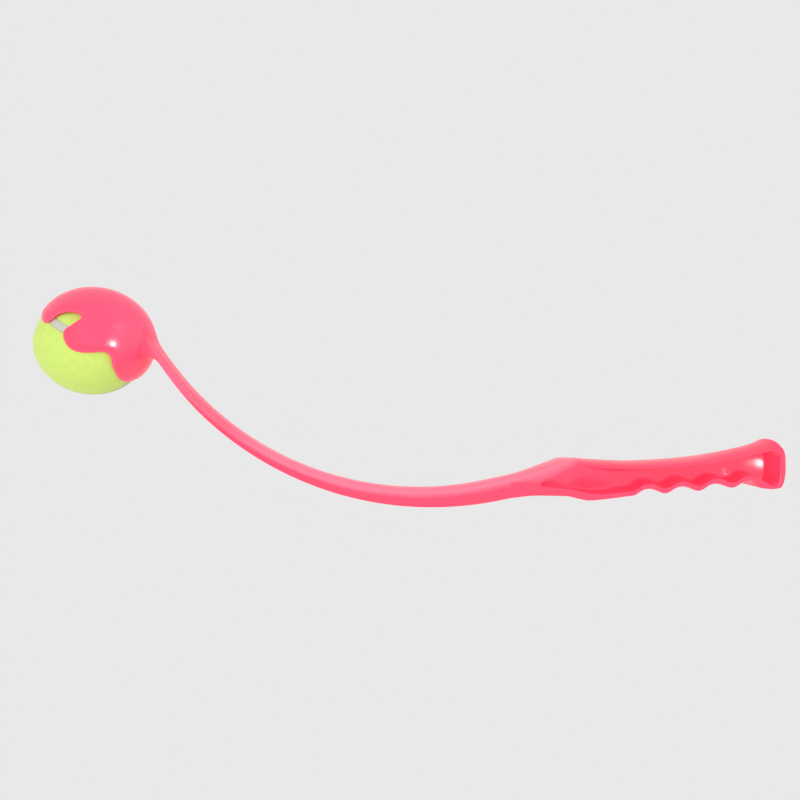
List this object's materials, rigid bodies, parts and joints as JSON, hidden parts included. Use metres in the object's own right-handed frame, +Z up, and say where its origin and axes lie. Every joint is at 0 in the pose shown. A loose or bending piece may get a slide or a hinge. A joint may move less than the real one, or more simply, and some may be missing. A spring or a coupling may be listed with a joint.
{
  "type": "tennis ball launcher",
  "caption": "Hand-held tennis ball launcher: a scalloped cup on a thin curved springy arm, a ribbed handle with finger grooves, and the felt ball it grips.",
  "frame": {"origin": "the middle of the grip, inside the handle, half way between its top and its finger grooves", "axes": "+X runs from the ball towards the butt of the handle, +Z is up with the cup's mouth facing down and away, and the launcher is mirror-symmetric in Y"},
  "size_m": [0.4826, 0.0692, 0.145],
  "materials": {
    "launcher_plastic": "glossy hot pink moulded plastic",
    "ball_rubber": "dull moulded rubber",
    "ball_felt": "fuzzy yellow-green felt",
    "seam_rubber": "dull pale grey rubber cement"
  },
  "bodies": {
    "handle": {"handle": "launcher_plastic", "arm": "launcher_plastic"},
    "cup": {"cup": "launcher_plastic"},
    "ball": {"rubber_core_a": "ball_rubber", "rubber_core_b": "ball_rubber", "felt_panel_a": "ball_felt", "felt_panel_b": "ball_felt", "ball_seam": "seam_rubber"}
  },
  "joints": [
    {"name": "arm_flex", "type": "hinge", "parent": "handle", "child": "cup", "pos_m": [-0.29789, 0, 0.03359], "axis": [0, 1, 0], "range_deg": [-12, 12], "stiffness_Nm_per_rad": 4},
    {"name": "ball_release", "type": "slide", "parent": "cup", "child": "ball", "axis": [-0.682, 0, -0.7314], "range_m": [-0.005, 0.07]}
  ]
}
